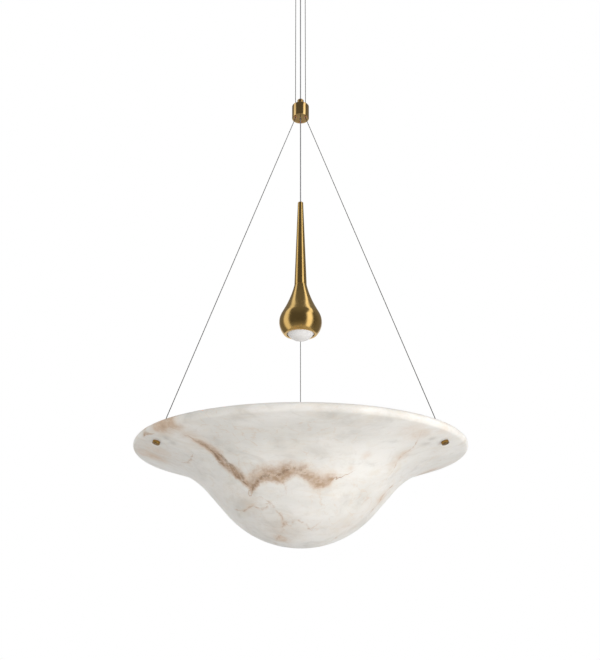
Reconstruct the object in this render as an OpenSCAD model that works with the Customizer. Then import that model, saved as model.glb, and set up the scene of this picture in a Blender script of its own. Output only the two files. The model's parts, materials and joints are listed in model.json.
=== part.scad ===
// Pendant light: a translucent stone-look acrylic bowl on three wires, with a brass teardrop
// lamp that hangs on its own cord above the bowl.
// Z is up, the origin is the middle of the face that meets the ceiling, and the front is -Y.
// Millimetres and degrees.

/* [Bowl] */
// Outside radius of the rim
bowl_r = 300; // [280:1:320]
// Depth from the rim's top to the underside
bowl_depth = 178; // [170:1:186]
// Wall thickness; the rim is a full round of this thickness
bowl_wall = 16; // [12:0.5:20]
// Radius of the round bottom
bottom_r = 177.6; // [165:0.2:190]
// Slope of the side wall
wall_slope = 47.7; // [44:0.1:51]
// Radius of the hollow curve from the wall to the lip
flare_r = 175; // [150:1:185]
// Rise of the lip towards its edge
lip_slope = 17.8; // [16:0.1:20]
// Top of the rim below the ceiling
rim_drop = 1150; // [1120:1:1400]

/* [Suspension wires] */
// Diameter of a wire rope
wire_d = 1.5; // [1:0.1:2]
// Radius of the circle that the wires hang on above the hub
wire_circle_r = 12.4; // [11.5:0.1:12.6]
// How far in from the bowl's edge a wire comes out under the lip
anchor_inset = 24; // [18:0.1:36]
// Radius of a wire's bend below the hub
bend_r = 6; // [4:0.5:10]
// Diameter of the crimped ends
crimp_d = 3.8; // [3:0.1:4]
// Length of the crimped end in the ceiling boss
crimp_len = 4; // [3:0.5:5]
// Length of the crimped end in a barrel
foot_crimp_len = 2.4; // [2:0.1:2.6]

/* [Rim fittings] */
// Diameter of the brass barrel under the lip
stop_d = 13; // [12:0.5:16]
// Length of the barrel
stop_len = 5; // [4.9:0.1:9]
// Diameter of the hole through the lip
lip_hole_d = 5.4; // [4.5:0.1:6.5]
// Thickness of the bush's flange
flange_t = 0.8; // [0.6:0.1:2]
// Diameter of the slotted screw that closes the barrel
plug_d = 8; // [6.5:0.1:9]
// Length of that screw
plug_len = 2.2; // [1.8:0.1:2.4]

/* [Hub] */
// Diameter of the hub
hub_d = 36.2; // [34:0.2:40]
// Height of the hub
hub_h = 32; // [29:0.5:36]
// Rounding of the hub's edges
hub_edge = 2; // [1:0.5:4]
// Underside of the hub below the ceiling
hub_drop = 432; // [300:1:600]
// Diameter of a wire's release nose
nose_d = 6.7; // [6:0.1:7]
// Length of a release nose
nose_len = 12; // [10:0.5:14]
// How far a nose stands out of the hub
nose_proud = 1.5; // [1:0.1:2.5]
// Room for the spring above a nose
spring_len = 4.5; // [4:0.5:5]
// Length of the ball cage that grips the wire
cage_len = 8; // [6:0.5:9]

/* [Cord gland] */
// Diameter of the power cord
cord_d = 2.2; // [1.8:0.1:2.4]
// Diameter of the gland's nut
nut_d = 13.8; // [13:0.2:16]
// Height of the gland's nut
nut_h = 11.8; // [10:0.2:14]
// Height of the gland's collar under the nut
collar_h = 4; // [3:0.5:6]
// Diameter of the gland's lower thread
shank_d = 9.8; // [8.8:0.1:10.2]
// Diameter of the gland's upper thread
neck_d = 9.2; // [8:0.1:10]
// Length of the gland's upper thread
neck_len = 6; // [5:0.5:7]
// Diameter of the bead that the cord swings in
bead_d = 6.4; // [5.6:0.1:7]

/* [Lamp] */
// Top of the lamp's stem below the ceiling
lamp_drop = 638; // [560:1:660]
// Length of the stem down to the seam
stem_len = 186; // [150:1:200]
// Radius of the stem at its top
stem_top_r = 5.5; // [5:0.1:7]
// Radius of the stem at the seam
stem_foot_r = 12.2; // [11.6:0.1:14]
// Wall of the stem
stem_wall = 1.2; // [0.8:0.1:1.4]
// Largest radius of the lamp's shell
shell_r = 41.4; // [40:0.2:46]
// Wall of the shell
shell_wall = 1.6; // [1:0.1:2]
// Slope of the shell just under the seam
neck_slope = 13; // [11:0.5:15]
// Steepest slope of the shell's flank
flank_slope = 28.4; // [27:0.2:30]
// Radius of the shell's hollow neck
neck_r = 203; // [190:1:210]
// Radius of the shell's round
round_r = 37.6; // [35:0.2:40]
// Lowest point of the round below its widest plane
round_drop = 24.3; // [22:0.1:26]
// Radius of the opening for the lens
opening_r = 26.7; // [25:0.1:28]
// Thickness of the lip round the opening
lip_t = 2; // [1.5:0.1:2.5]
// How far the lens bulges below its flange
lens_bulge = 15.5; // [10:0.5:18]
// Thickness of the lens
lens_t = 2; // [1.5:0.1:2.5]

/* [Light engine] */
// Diameter of the emitter
chip_d = 18; // [12:1:19]
// Diameter of the circuit board
board_d = 40; // [38:1:44]
// Thickness of the circuit board
board_t = 1.6; // [1:0.1:2]
// Diameter of the heat sink's plate
sink_d = 60; // [50:1:64]
// Thickness of the heat sink's plate
sink_t = 5; // [4:0.5:6]
// Reach of the heat sink's fins from the axis
fin_r = 19; // [14:0.5:20]
// Height of the fins
fin_h = 24; // [18:1:26]
// Number of fins
fin_count = 10; // [6:1:16]
// Wall of the reflector
reflector_wall = 1; // [0.8:0.1:1.5]

/* [Ceiling fitting] */
// Outside radius of the canopy cover
cover_r = 60; // [60:0.5:66]
// Height of the cover
cover_h = 42; // [41:0.5:44]
// Wall of the cover
cover_wall = 1.5; // [1:0.1:2]
// Rounding of the cover's lower edge
cover_edge = 6; // [3:0.5:8]
// Radius of the hole in the cover
cover_hole_r = 22.5; // [22:0.5:24]
// Thickness of the ceiling plate
plate_t = 3; // [2:0.5:4]
// Distance between the two ceiling screws
screw_spacing = 100; // [98:1:104]
// Diameter of the holes for the ceiling screws
screw_hole_d = 5; // [4:0.5:6]
// Diameter of the cable inlet
inlet_d = 20; // [14:1:24]
// Diameter of the brass boss that the wires hang from
boss_d = 32; // [31.6:0.2:33]
// Height of the boss
boss_h = 24; // [22:0.5:30]

/* [Swivel] */
// Ball centre below the ceiling
swivel_drop = 27; // [26:0.5:28]
// Diameter of the ball
ball_d = 16; // [15:0.2:17]
// Thickness of the nylon seat
seat_t = 1.7; // [1.2:0.1:2]
// Diameter of the ball's stem
ball_stem_d = 7; // [6:0.2:7.4]
// Outside radius of the socket
socket_r = 12.5; // [12.2:0.1:14]
// Thickness of the bridge's strap
strap_t = 2.5; // [2:0.1:3]
// Width of the bridge
strap_w = 36; // [34:1:40]
// Length of the bridge over its legs
bridge_len = 60; // [52:1:64]
// Length of each of the bridge's feet
foot_len = 14; // [12:0.5:16]

/* [Driver and terminals] */
// Length of the driver
driver_len = 50; // [40:1:52]
// Width of the driver
driver_w = 22; // [18:1:22]
// Height of the driver
driver_h = 20; // [17:0.5:24]
// Length of the terminal block
block_len = 34; // [30:1:36]
// Width of the terminal block
block_w = 16; // [12:0.5:18]
// Height of the terminal block
block_h = 14; // [13:0.5:18]
// Diameter of a mains lead
lead_d = 2.4; // [2:0.1:3]

/* [Hidden] */
$fn = 64;

// Clearances
loose = 0.3;
running = 0.1;
snug = 0.05;
seam = 0.2;

// Colours
brass = "#b8923f";
steel = "#a9abad";
zinc = "#c2c5c8";
white = "#f2f1ee";
black = "#26262a";
sheath = "#8f9092";
stone = "#e9e4dc";
frost = "#f6f7f8";

// Directions of the three wires, seen from above
right_turn = -30;
left_turn = 210;
back_turn = 90;
WIRE_TURNS = [left_turn, right_turn, back_turn];

function arc(centre, r, from, to, steps = 12) =
    [for (i = [0:steps]) let (a = from + (to - from) * i / steps)
        centre + r * [cos(a), sin(a)]];
function reversed(list) = [for (i = [len(list) - 1:-1:0]) list[i]];
function heading(slope) = [cos(slope), sin(slope)];

// A ring or tube that stands on z = 0
module tube(r_out, r_in, h) {
    difference() {
        cylinder(r = r_out, h = h);
        translate([0, 0, -1]) cylinder(r = r_in, h = h + 2);
    }
}

// A round bar on z = 0 whose top and bottom edges are rounded
module round_bar(r, h, top_edge, bottom_edge) {
    rotate_extrude() polygon(concat(
        [[0, 0]],
        bottom_edge > 0 ? arc([r - bottom_edge, bottom_edge], bottom_edge, -90, 0, 6) : [[r, 0]],
        top_edge > 0 ? arc([r - top_edge, h - top_edge], top_edge, 0, 90, 6) : [[r, h]],
        [[0, h]]
    ));
}

// A pan-head screw: its head stands on z = 0 and reaches down, its shank reaches up
module pan_screw(sizes, shank_len) {
    head_r = sizes[1];
    head_h = sizes[2];
    slot_w = head_r * 0.3;
    difference() {
        union() {
            cylinder(r = sizes[0], h = shank_len);
            translate([0, 0, -head_h]) round_bar(head_r, head_h, 0, head_h * 0.4);
        }
        translate([-head_r, -slot_w / 2, -head_h - 1]) cube([2 * head_r, slot_w, 1 + head_h * 0.5]);
    }
}

// The hole that such a screw passes through
module screw_hole(sizes, h) {
    cylinder(r = sizes[0] + running, h = h);
}

// The bowl's outline, from z = 0 at the rim's top
rim_round = bowl_wall / 2;
rim_centre = [bowl_r - rim_round, -rim_round];
lip_foot = rim_centre + rim_round * [sin(lip_slope), -cos(lip_slope)];
bottom_centre = [0, bottom_r - bowl_depth];
bottom_end = bottom_centre + bottom_r * [sin(wall_slope), -cos(wall_slope)];
flare_step = flare_r * [sin(wall_slope) - sin(lip_slope), cos(lip_slope) - cos(wall_slope)];
flare_gap = lip_foot - bottom_end - flare_step;
wall_run = (flare_gap.y * cos(lip_slope) - flare_gap.x * sin(lip_slope)) / sin(wall_slope - lip_slope);
flare_centre = bottom_end + wall_run * heading(wall_slope)
    + flare_r * [sin(wall_slope), -cos(wall_slope)];
bowl_outline = concat(
    arc(bottom_centre, bottom_r, -90, wall_slope - 90, 16),
    arc(flare_centre, flare_r, wall_slope + 90, lip_slope + 90, 12),
    arc(rim_centre, rim_round, lip_slope - 90, lip_slope + 90, 16),
    arc(flare_centre, flare_r + bowl_wall, lip_slope + 90, wall_slope + 90, 12),
    arc(bottom_centre, bottom_r - bowl_wall, wall_slope - 90, -90, 16)
);

// The wires: straight down from the boss, bent at the hub, straight to the lip and square through it
wire_r = wire_d / 2;
hub_z = -hub_drop;
hub_top = hub_z + hub_h;
mouth_z = hub_z - nose_proud;
anchor_r = bowl_r - anchor_inset;
anchor_z = lip_foot.y - (lip_foot.x - anchor_r) * tan(lip_slope) - rim_drop;
hole_dir = [sin(lip_slope), -cos(lip_slope)];
above_lip = bowl_wall + 2;
lip_bend = [anchor_r, anchor_z] - above_lip * hole_dir;
bend_to_lip = [lip_bend.x - wire_circle_r - bend_r, mouth_z - lip_bend.y];
tilt = atan2(bend_to_lip.x, bend_to_lip.y) + asin(bend_r / norm(bend_to_lip));

// Places the children at a wire's anchor, with +Z up through the lip
module at_anchor(turn) {
    rotate([0, 0, turn]) translate([anchor_r, 0, anchor_z]) rotate([0, -lip_slope, 0]) children();
}

// Places the children on a wire's vertical run
module on_circle(turn, z) {
    rotate([0, 0, turn]) translate([wire_circle_r, 0, z]) children();
}

// Rim fittings, measured up along the lip's hole from the anchor
spot_depth = 0.4;
flange_reach = 3.2;
spot_r = lip_hole_d / 2 + flange_reach;
flange_top = spot_depth;
stop_top = flange_top - flange_t;
crimp_r = crimp_d / 2;
crimp_seat = 0.8;
wire_end = stop_top - crimp_seat - foot_crimp_len;
plug_r = plug_d / 2;
stop_bottom = stop_top - stop_len;

// Hub
hub_r = hub_d / 2;
nose_r = nose_d / 2;
wire_bore_r = wire_r + loose;
cage_z = hub_z - nose_proud + nose_len + spring_len;
grip_bore_top = cage_z + cage_len;
bead_r = bead_d / 2;
bead_floor = 0.8;
bead_lift = bead_r + bead_floor;
bead_z = hub_z + bead_lift;
bead_half = bead_r * 0.82;
bead_flare = 0.8;
mouth_r = bead_r * 0.78;
cord_r = cord_d / 2;
cord_gap = cord_r + 0.2;
gland_bore_depth = 10;

// Gland
neck_wall = 1.5;
sleeve_r = neck_d / 2 - neck_wall;
sleeve_proud = 1.5;
collar_step = 0.7;
nut_top_edge = 2.2;
nut_foot_edge = 0.4;

// Ceiling fitting
cover_inner_r = cover_r - cover_wall;
plate_gap = 1;
plate_r = cover_inner_r - plate_gap;
swivel_z = -swivel_drop;
ball_r = ball_d / 2;
seat_in = ball_r + running;
seat_out = seat_in + seat_t;
socket_in = seat_out + running;
ball_flat = 5;
seat_low = seat_in * 0.76;
seat_high = 2.5;
socket_floor = 0.7;
socket_low = seat_low + socket_floor;
socket_high = 3;
socket_flange_w = 3.5;
socket_flange_r = socket_r + socket_flange_w;
socket_flange_low = 0.5;
strap_top = swivel_z + socket_flange_low;
strap_z = strap_top - strap_t;
boss_r = boss_d / 2;
swing_room = 13;
boss_top = swivel_z - swing_room;
boss_z = boss_top - boss_h;
stem_depth = 10;
ball_stem_r = ball_stem_d / 2;
stem_seat_gap = 0.5;
top_crimp_depth = 6;
grub_r = 2;
grub_len = 8;
grub_key_r = 1.1;

// Screws as [shank radius, head radius, head height]
plate_screw = [2, 3.6, 2.6];
driver_screw = [1.5, 2.6, 1.6];
board_screw = [1.25, 2.2, 1.4];
terminal_screw = [1.2, 1.6, 1];

// Spring clips that hold the cover
clip_w = 8;
clip_t = 0.8;
clip_h = 11;
clip_foot = 8;
CLIP_TURNS = [30, 150, 270];
clip_x = sqrt((cover_inner_r - loose) * (cover_inner_r - loose) - clip_w * clip_w / 4);

// The wire's route, as [distance from the axis, height, slope from the vertical]
wire_top = boss_top - top_crimp_depth + crimp_len + 1;
bend_steps = 4;
wire_foot = [anchor_r, anchor_z] - wire_end * hole_dir;
wire_route = concat(
    [[wire_circle_r, wire_top, 0]],
    [for (i = [0:bend_steps]) let (a = tilt * i / bend_steps)
        [wire_circle_r + bend_r * (1 - cos(a)), mouth_z - bend_r * sin(a), a]],
    [[lip_bend.x, lip_bend.y, (tilt + lip_slope) / 2], [wire_foot.x, wire_foot.y, lip_slope]]
);

// Driver, terminals and their leads
driver_gap = 4;
driver_y = strap_w / 2 + driver_gap;
block_gap = 6;
block_y = -strap_w / 2 - block_gap - block_w;
lead_x = 18;
lead_mid_y = (driver_y + driver_w / 2 + block_y + block_w / 2) / 2;
lead_turn_r = (driver_y + driver_w / 2 - block_y - block_w / 2) / 2;
lead_pitch = 4;
cord_bend = 9;
cord_turn_z = swivel_z + ball_flat;

// Lamp
lamp_z = -lamp_drop;
seam_z = lamp_z - stem_len;
thread_len = 8;
thread_wall = 2;
nipple_r = stem_foot_r - thread_wall;
nipple_wall = 1.8;
bush_len = 8;
bush_seat_r = stem_top_r - stem_wall;
crimp_ring_len = 5;
crimp_ring_wall = 1.4;
cord_tail = 4;
cord_end = lamp_z - bush_len - crimp_ring_len - cord_tail;
shell_top = seam_z - seam;
neck_centre = [stem_foot_r + neck_r * cos(neck_slope), shell_top + neck_r * sin(neck_slope)];
flank_start = neck_centre - neck_r * [cos(flank_slope), sin(flank_slope)];
round_start_r = shell_r - round_r * (1 - cos(flank_slope));
flank_run = (round_start_r - flank_start.x) / sin(flank_slope);
round_z = flank_start.y - flank_run * cos(flank_slope) - round_r * sin(flank_slope);
round_centre = [shell_r - round_r, round_z];
round_low = -asin(round_drop / round_r);
lip_land = 1;
lip_z = round_z - round_drop - lip_land;
lip_edge = round_centre + round_r * [cos(round_low), sin(round_low)];
lip_seat = lip_z + lip_t;
shell_inner_low = -asin((round_z - lip_seat) / (round_r - shell_wall));
gasket_t = 0.8;
flange_w = 4.3;
flange_r = opening_r + flange_w;
lens_z = lip_seat + gasket_t;
lens_gap = 0.5;
lens_base_r = opening_r - lens_gap;
lens_flange_t = 1.5;
lens_sphere_r = (lens_base_r * lens_base_r + lens_bulge * lens_bulge) / (2 * lens_bulge);
lens_centre_z = lens_z - lens_bulge + lens_sphere_r;
retainer_t = 1.2;
retainer_z = lens_z + lens_flange_t;

// Light engine
chip_lift = 26;
board_z = lens_z + chip_lift;
sink_z = board_z + board_t;
fin_t = 1.6;
core_bore_r = 2.6;
core_top = seam_z - 1;
reflector_gap = 1;
reflector_top_r = chip_d / 2 + reflector_gap;
reflector_low_r = lens_base_r - 2.2;
reflector_z = retainer_z + retainer_t + reflector_gap;
reflector_flange_w = 2.5;
reflector_flange_t = 0.8;
chip_t = 1;
screw_circle_r = (reflector_top_r + reflector_flange_w + reflector_gap + board_d / 2) / 2;
led_lead_r = 0.6;
led_lead_gap = 1.6;

module ceiling_plate() {
    color(zinc) difference() {
        translate([0, 0, -plate_t]) cylinder(r = plate_r, h = plate_t);
        translate([0, 0, -plate_t - 1]) cylinder(d = inlet_d, h = plate_t + 2);
        for (side = [-1, 1])
            translate([side * screw_spacing / 2, 0, -plate_t - 1])
                cylinder(d = screw_hole_d, h = plate_t + 2);
        at_feet() translate([0, 0, -plate_t - 1]) screw_hole(plate_screw, plate_t + 2);
        at_earth() translate([0, 0, -plate_t - 1]) screw_hole(plate_screw, plate_t + 2);
    }
}

// The bridge's screws: places at its two feet
module at_feet() {
    for (end = [-1, 1], side = [-1, 1])
        translate([end * (bridge_len / 2 + foot_len / 2 + 1), side * strap_w / 4, 0]) children();
}

module swivel_bridge() {
    leg_h = -plate_t - strap_z;
    color(zinc) difference() {
        union() {
            translate([-bridge_len / 2, -strap_w / 2, strap_z]) cube([bridge_len, strap_w, strap_t]);
            for (end = [-1, 1]) {
                translate([end * (bridge_len / 2 - strap_t / 2) - strap_t / 2, -strap_w / 2, strap_z])
                    cube([strap_t, strap_w, leg_h]);
                translate([end * (bridge_len + foot_len) / 2, 0, -plate_t - strap_t / 2])
                    cube([foot_len, strap_w, strap_t], center = true);
            }
        }
        translate([0, 0, strap_z - 1]) cylinder(r = socket_r + running, h = strap_t + 2);
        at_feet() translate([0, 0, -plate_t - strap_t - 1]) screw_hole(plate_screw, strap_t + 2);
    }
}

module bridge_screws() {
    color(steel) at_feet()
        translate([0, 0, -plate_t - strap_t]) pan_screw(plate_screw, strap_t + plate_t - seam);
}

module swivel_socket() {
    color(steel) translate([0, 0, swivel_z]) difference() {
        union() {
            translate([0, 0, -socket_low]) cylinder(r = socket_r, h = socket_low + socket_high);
            translate([0, 0, socket_flange_low])
                cylinder(r = socket_flange_r, h = socket_high - socket_flange_low);
        }
        sphere(r = socket_in);
        cylinder(r = socket_in, h = socket_high + 1);
    }
}

module swivel_seat() {
    color(white) translate([0, 0, swivel_z]) intersection() {
        difference() {
            sphere(r = seat_out);
            sphere(r = seat_in);
        }
        translate([0, 0, -seat_low]) cylinder(r = seat_out + 1, h = seat_low + seat_high);
    }
}

module swivel_ball() {
    bore_r = cord_r + loose;
    color(steel) translate([0, 0, swivel_z]) difference() {
        union() {
            intersection() {
                sphere(r = ball_r);
                translate([0, 0, -ball_r]) cylinder(r = ball_r + 1, h = ball_r + ball_flat);
            }
            translate([0, 0, boss_top - stem_depth - swivel_z])
                cylinder(r = ball_stem_r, h = swivel_z - boss_top + stem_depth - ball_r * 0.7);
        }
        translate([0, 0, boss_top - stem_depth - swivel_z - 1])
            cylinder(r = bore_r, h = swivel_z - boss_top + stem_depth + 1);
        cylinder(r1 = bore_r, r2 = bore_r + 2, h = ball_flat + 0.01);
    }
}

module canopy_boss() {
    color(brass) difference() {
        translate([0, 0, boss_z]) round_bar(boss_r, boss_h, 1.5, hub_edge);
        translate([0, 0, boss_top - stem_depth - stem_seat_gap])
            cylinder(r = ball_stem_r + running, h = stem_depth + 1.5);
        translate([0, 0, boss_z - 1]) cylinder(r = cord_r + loose, h = boss_h + 2);
        for (turn = WIRE_TURNS) {
            on_circle(turn, boss_z - 1) cylinder(r = wire_bore_r, h = boss_h + 2);
            on_circle(turn, boss_top - top_crimp_depth)
                cylinder(r = crimp_r + running, h = top_crimp_depth + 1);
        }
        translate([0, 0, boss_top - stem_depth / 2]) rotate([90, 0, 0])
            cylinder(r = grub_r + running, h = boss_r + 1);
    }
}

module boss_set_screw() {
    start = ball_stem_r + snug;
    color(steel) translate([0, 0, boss_top - stem_depth / 2]) rotate([90, 0, 0]) translate([0, 0, start])
        difference() {
            cylinder(r = grub_r, h = grub_len);
            translate([0, 0, grub_len - 2]) cylinder(r = grub_key_r, h = 3, $fn = 6);
        }
}

module wire_top_crimps() {
    color(steel) for (turn = WIRE_TURNS)
        on_circle(turn, boss_top - top_crimp_depth) tube(crimp_r, wire_r + snug, crimp_len);
}

// Sweeps a round section of so many sides along the wire's route
module wire(turn) {
    sides = 12;
    rings = len(wire_route);
    points = [for (p = wire_route, k = [0:sides - 1]) let (u = 360 * k / sides)
        [p.x + wire_r * cos(u) * cos(p.z), wire_r * sin(u), p.y + wire_r * cos(u) * sin(p.z)]];
    walls = [for (i = [0:rings - 2], k = [0:sides - 1])
        let (a = i * sides + k, b = i * sides + (k + 1) % sides)
        each [[a, b, b + sides], [a, b + sides, a + sides]]];
    caps = [[for (k = [sides - 1:-1:0]) k], [for (k = [0:sides - 1]) (rings - 1) * sides + k]];
    color(steel) rotate([0, 0, turn]) polyhedron(points = points, faces = concat(walls, caps));
}

module wire_left() { wire(left_turn); }
module wire_right() { wire(right_turn); }
module wire_back() { wire(back_turn); }

// A cord's rounded end at z = 0 with the cord below it
module cord_below(len) {
    sphere(r = cord_r);
    translate([0, 0, -len]) cylinder(r = cord_r, h = len);
}

module main_cord() {
    color(sheath) translate([0, 0, swivel_z]) cord_below(swivel_z - bead_z - cord_gap);
}

module hub() {
    color(brass) difference() {
        translate([0, 0, hub_z]) round_bar(hub_r, hub_h, hub_edge, hub_edge / 2);
        for (turn = WIRE_TURNS) {
            on_circle(turn, hub_z - 1) cylinder(r = nose_r + running, h = grip_bore_top - hub_z + 1);
            on_circle(turn, hub_z) cylinder(r = wire_bore_r, h = hub_h + 1);
        }
        translate([0, 0, bead_z]) sphere(r = bead_r + running);
        translate([0, 0, bead_z]) cylinder(r = bead_r + running, h = hub_h);
        translate([0, 0, hub_z - 1]) cylinder(r = mouth_r, h = bead_lift + 1);
        translate([0, 0, hub_top - gland_bore_depth])
            cylinder(d = shank_d + 2 * running, h = gland_bore_depth + 1);
    }
}

module gripper_cages() {
    color(steel) for (turn = WIRE_TURNS)
        on_circle(turn, cage_z) tube(nose_r, wire_bore_r, cage_len);
}

module release_spring(turn) {
    color(steel) on_circle(turn, cage_z - spring_len) tube(nose_r - 0.2, nose_r - 0.9, spring_len);
}

module release_spring_left() { release_spring(left_turn); }
module release_spring_right() { release_spring(right_turn); }
module release_spring_back() { release_spring(back_turn); }

module release_nose(turn) {
    color(brass) on_circle(turn, mouth_z) difference() {
        round_bar(nose_r, nose_len, 0, 0.6);
        translate([0, 0, -1]) cylinder(r = wire_bore_r, h = nose_len + 2);
    }
}

module release_nose_left() { release_nose(left_turn); }
module release_nose_right() { release_nose(right_turn); }
module release_nose_back() { release_nose(back_turn); }

module gland_body() {
    collar_r = nut_d / 2 - collar_step;
    color(brass) difference() {
        union() {
            translate([0, 0, hub_top - gland_bore_depth]) cylinder(d = shank_d, h = gland_bore_depth);
            translate([0, 0, hub_top]) cylinder(r = collar_r, h = collar_h);
            translate([0, 0, hub_top + collar_h]) cylinder(d = neck_d, h = neck_len);
        }
        translate([0, 0, hub_top - gland_bore_depth - 1])
            cylinder(r = cord_r + loose, h = gland_bore_depth + collar_h + neck_len + 2);
        translate([0, 0, hub_top + collar_h]) cylinder(r = sleeve_r + running, h = neck_len + 1);
    }
}

module gland_sleeve() {
    color(white) translate([0, 0, hub_top + collar_h])
        tube(sleeve_r, cord_r + snug, neck_len + sleeve_proud);
}

module gland_nut() {
    thread_h = neck_len + loose;
    color(brass) translate([0, 0, hub_top + collar_h + seam]) difference() {
        round_bar(nut_d / 2, nut_h, nut_top_edge, nut_foot_edge);
        translate([0, 0, -1]) cylinder(r = neck_d / 2 + running, h = thread_h + 1);
        translate([0, 0, thread_h - 0.01]) cylinder(r = sleeve_r + running, h = sleeve_proud + 0.01);
        translate([0, 0, -1]) cylinder(r = cord_r + loose, h = nut_h + 2);
    }
}

module cord_bead() {
    hole_r = cord_r + running + snug;
    color(white) translate([0, 0, bead_z]) difference() {
        intersection() {
            sphere(r = bead_r);
            translate([0, 0, -bead_half]) cylinder(r = bead_r + 1, h = 2 * bead_half);
        }
        cylinder(r1 = hole_r, r2 = hole_r + bead_flare, h = bead_half + 0.01);
        rotate([180, 0, 0]) cylinder(r1 = hole_r, r2 = hole_r + bead_flare, h = bead_half + 0.01);
    }
}

module lamp_cord() {
    color(sheath) translate([0, 0, bead_z]) cord_below(bead_z - cord_end);
}

module cord_crimp() {
    color(brass) translate([0, 0, lamp_z - bush_len - crimp_ring_len])
        tube(cord_r + crimp_ring_wall, cord_r + snug, crimp_ring_len);
}

module stem_bush() {
    color(black) translate([0, 0, lamp_z - bush_len])
        tube(bush_seat_r - snug, cord_r + snug, bush_len - 1);
}

module lamp_stem() {
    color(brass) difference() {
        translate([0, 0, seam_z]) rotate_extrude() polygon(concat(
            [[0, 0], [stem_foot_r, 0]],
            arc([stem_top_r - 1, stem_len - 1], 1, 0, 90, 4),
            [[0, stem_len]]
        ));
        translate([0, 0, seam_z + thread_len])
            cylinder(r1 = nipple_r - 0.5, r2 = bush_seat_r, h = stem_len - thread_len - bush_len);
        translate([0, 0, lamp_z - bush_len - 0.01]) cylinder(r = bush_seat_r, h = bush_len + 1);
        translate([0, 0, seam_z - 1]) cylinder(r = nipple_r + running, h = thread_len + 1);
    }
}

module stem_nipple() {
    color(steel) translate([0, 0, seam_z - thread_len])
        tube(nipple_r, nipple_r - nipple_wall, 2 * thread_len - seam);
}

module led_leads() {
    for (side = [-1, 1])
        color(side < 0 ? "#b02020" : black) translate([side * led_lead_gap / 2, 0, sink_z])
            cylinder(r = led_lead_r, h = cord_end - sink_z);
}

module heat_sink() {
    core_h = core_top - sink_z;
    core_r = nipple_r - nipple_wall - snug;
    color(zinc) difference() {
        union() {
            translate([0, 0, sink_z]) cylinder(d = sink_d, h = sink_t);
            translate([0, 0, sink_z]) cylinder(r = core_r, h = core_h);
            for (i = [0:fin_count - 1])
                rotate([0, 0, i * 360 / fin_count]) translate([0, -fin_t / 2, sink_z + sink_t / 2])
                    cube([fin_r, fin_t, fin_h + sink_t / 2]);
        }
        translate([0, 0, sink_z - 1]) cylinder(r = core_bore_r, h = core_h + 2);
        for (side = [-1, 1])
            translate([side * screw_circle_r, 0, sink_z - 1]) screw_hole(board_screw, 4);
    }
}

module led_board() {
    color(white) difference() {
        translate([0, 0, board_z]) cylinder(d = board_d, h = board_t);
        for (side = [-1, 1])
            translate([side * screw_circle_r, 0, board_z - 1]) screw_hole(board_screw, board_t + 2);
    }
}

module led_chip() {
    color("#f2d060") translate([0, 0, board_z - chip_t]) cylinder(d = chip_d, h = chip_t);
}

module board_screws() {
    color(steel) for (side = [-1, 1])
        translate([side * screw_circle_r, 0, board_z]) pan_screw(board_screw, board_t + 2);
}

module reflector() {
    top = board_z;
    color(white) rotate_extrude() polygon([
        [reflector_top_r, top],
        [reflector_low_r, reflector_z],
        [reflector_low_r + reflector_wall, reflector_z],
        [reflector_top_r + reflector_wall, top - reflector_flange_t],
        [reflector_top_r + reflector_flange_w, top - reflector_flange_t],
        [reflector_top_r + reflector_flange_w, top]
    ]);
}

module lamp_shell() {
    inner_neck = neck_r + shell_wall;
    inner_round = round_r - shell_wall;
    thread_bottom = shell_top - thread_len;
    color(brass) difference() {
        rotate_extrude() polygon(concat(
            [[0, shell_top]],
            arc(neck_centre, neck_r, 180 + neck_slope, 180 + flank_slope, 14),
            arc(round_centre, round_r, flank_slope, round_low, 18),
            [[lip_edge.x - 2, lip_z], [opening_r, lip_z], [0, lip_z]]
        ));
        rotate_extrude() polygon(concat(
            [[0, thread_bottom], [nipple_r + running, thread_bottom]],
            [for (p = arc(neck_centre, inner_neck, 180 + neck_slope, 180 + flank_slope, 14))
                if (p.y < thread_bottom) p],
            arc(round_centre, inner_round, flank_slope, shell_inner_low, 18),
            [[0, lip_seat]]
        ));
        translate([0, 0, thread_bottom - thread_len])
            cylinder(r = nipple_r + running, h = 2 * thread_len + 1);
        translate([0, 0, lip_z - 1]) cylinder(r = opening_r, h = lip_t + 2);
    }
}

module lens_gasket() {
    color(black) translate([0, 0, lip_seat]) tube(flange_r - 0.5, opening_r + 0.3, gasket_t);
}

module lens() {
    color(frost) {
        difference() {
            intersection() {
                translate([0, 0, lens_centre_z]) sphere(r = lens_sphere_r);
                translate([0, 0, lens_z - lens_bulge - 1])
                    cylinder(r = lens_base_r + 1, h = lens_bulge + 1);
            }
            translate([0, 0, lens_centre_z]) sphere(r = lens_sphere_r - lens_t);
        }
        translate([0, 0, lens_z]) tube(flange_r, lens_base_r - 1.5 * lens_t, lens_flange_t);
    }
}

module lens_retainer() {
    color(steel) translate([0, 0, retainer_z]) tube(flange_r + 0.5, lens_base_r - 0.4, retainer_t);
}

module bowl() {
    color(stone) difference() {
        translate([0, 0, -rim_drop]) rotate_extrude($fn = 180) polygon(bowl_outline);
        for (turn = WIRE_TURNS) at_anchor(turn) {
            translate([0, 0, -5]) cylinder(d = lip_hole_d, h = bowl_wall * 2);
            translate([0, 0, -5]) cylinder(r = spot_r, h = 5 + spot_depth);
        }
    }
}

module rim_bushes() {
    bush_r = lip_hole_d / 2 - running;
    color(frost) for (turn = WIRE_TURNS) at_anchor(turn) difference() {
        union() {
            translate([0, 0, stop_top]) cylinder(r = spot_r - loose, h = flange_t);
            translate([0, 0, stop_top]) cylinder(r = bush_r, h = bowl_wall - stop_top);
        }
        translate([0, 0, stop_top - 1]) cylinder(r = wire_r + running, h = flange_t + bowl_wall + 2);
    }
}

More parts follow.
